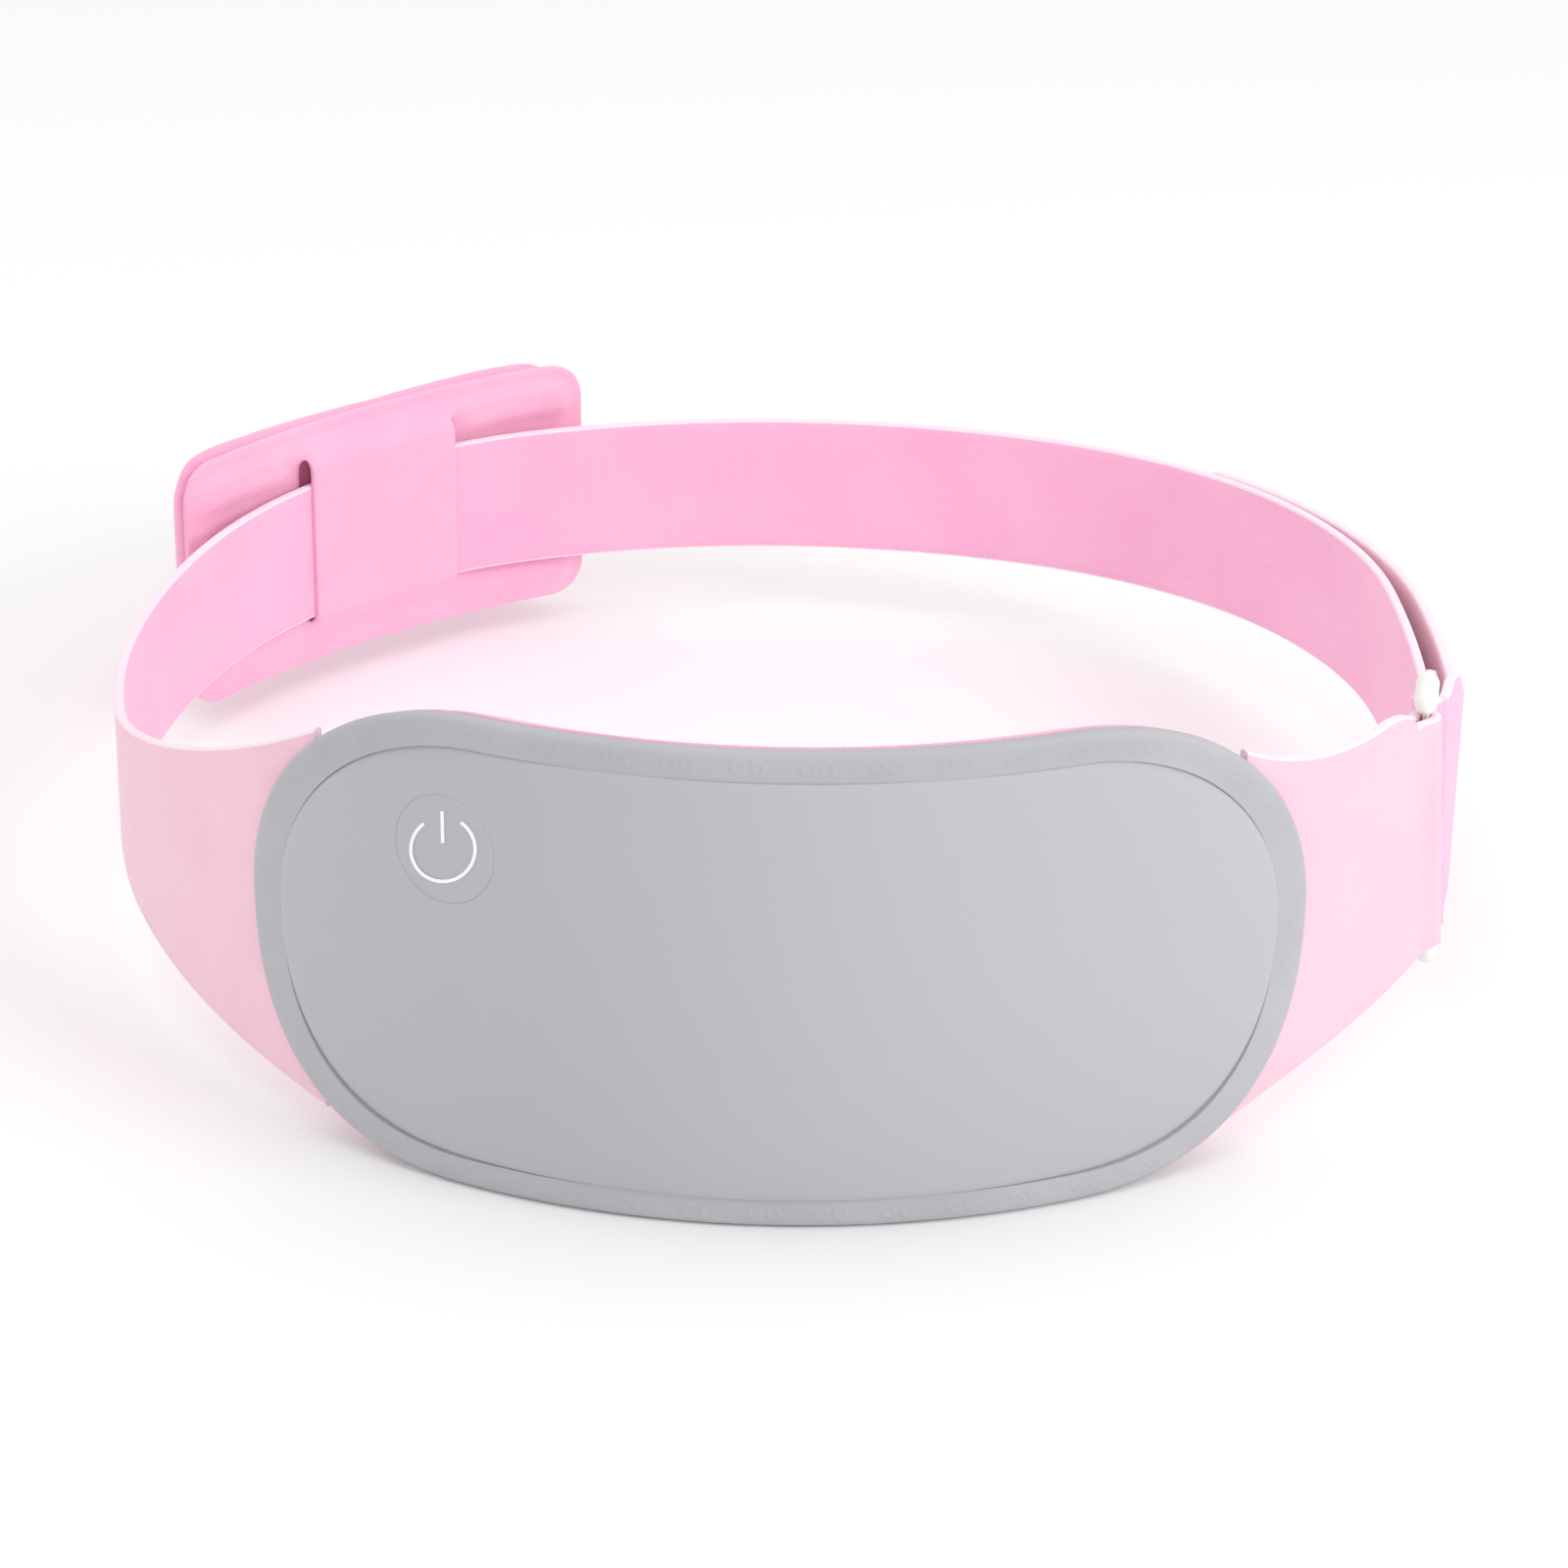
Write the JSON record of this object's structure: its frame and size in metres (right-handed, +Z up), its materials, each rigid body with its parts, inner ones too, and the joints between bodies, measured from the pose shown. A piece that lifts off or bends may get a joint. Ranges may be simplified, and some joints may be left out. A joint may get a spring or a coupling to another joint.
{
  "type": "eye massager mask",
  "caption": "Curved padded front module with heat and vibration, on a soft head loop with a ring, a folded-back strap end and a slide-on rear pad.",
  "frame": {"origin": "on the floor plane, under the middle of the whole part's box", "axes": "+Z up, the front module faces -Y, +X is on the right when looking at the module"},
  "size_m": [0.2012, 0.2102, 0.07],
  "materials": {
    "cover_skin": "smooth satin soft skin",
    "rim": "matt moulded edging with tiny dimples",
    "shell": "fine moulded",
    "face_foam": "soft brushed cloth over foam",
    "heater_film": "smooth film",
    "board": "solder mask",
    "switch": "moulded",
    "socket": "plated",
    "led": "clear resin",
    "cell": "foil",
    "motor_can": "plated",
    "screws": "zinc plated",
    "wire": "insulation",
    "wing_cloth": "soft bonded knit",
    "strap_cloth": "soft bonded knit",
    "mark": "printed",
    "plunger": "moulded",
    "weight": "plain",
    "ring": "moulded white",
    "hooks": "hook tape",
    "foam": "open-cell foam",
    "pad_cloth": "soft bonded knit"
  },
  "bodies": {
    "module": {"front_cover": "cover_skin", "rim_band": "rim", "front_shell": "shell", "back_shell": "shell", "face_pad": "face_foam", "heater_left": "heater_film", "heater_right": "heater_film", "circuit_board": "board", "tact_switch": "switch", "usb_port": "socket", "status_led": "led", "battery": "cell", "motor_left": "motor_can", "motor_right": "motor_can", "shell_screws": "screws", "battery_lead": "wire", "motor_leads": "wire", "heater_leads": "wire", "left_wing": "wing_cloth", "right_wing": "wing_cloth", "rear_strap": "strap_cloth"},
    "button": {"power_button": "cover_skin", "power_mark": "mark"},
    "plunger": {"switch_plunger": "plunger"},
    "weight_left": {"eccentric_left": "weight"},
    "weight_right": {"eccentric_right": "weight"},
    "ring": {"strap_ring": "ring"},
    "tail": {"strap_tail": "strap_cloth", "hook_patch": "hooks"},
    "head_pad": {"head_pad_lining": "wing_cloth", "head_pad_core": "foam", "head_pad_cover": "pad_cloth"}
  },
  "joints": [
    {"name": "power_button_press", "type": "slide", "parent": "module", "child": "button", "axis": [0.3987, 0.9171, 0], "range_m": [0, 0.0004], "stiffness_N_per_m": 2000, "springref_m": -0.0003},
    {"name": "switch_plunger_press", "type": "slide", "parent": "module", "child": "plunger", "axis": [0.3987, 0.9171, 0], "range_m": [0, 0.0004]},
    {"name": "left_motor_spin", "type": "hinge", "parent": "module", "child": "weight_left", "pos_m": [-0.01481, -0.09489, 0.041], "axis": [0, 0, 1], "continuous": true},
    {"name": "right_motor_spin", "type": "hinge", "parent": "module", "child": "weight_right", "pos_m": [0.01691, -0.09489, 0.041], "axis": [0, 0, 1], "continuous": true},
    {"name": "ring_swivel", "type": "hinge", "parent": "module", "child": "ring", "pos_m": [0.09226, -0.0411, 0.03095], "axis": [-0.0901, -0.2005, 0.9755], "range_deg": [-3, 3]},
    {"name": "strap_tail_peel", "type": "hinge", "parent": "module", "child": "tail", "pos_m": [0.09729, -0.02925, 0.0244], "axis": [0, 0, -1], "range_deg": [0, 110]},
    {"name": "head_pad_slide", "type": "hinge", "parent": "module", "child": "head_pad", "pos_m": [-0.01597, 0.01691, 0.0244], "axis": [0, 0, 1], "range_deg": [-14, 20]}
  ],
  "couplings": [
    {"joint": "switch_plunger_press", "follows": "power_button_press", "ratio": 1}
  ]
}
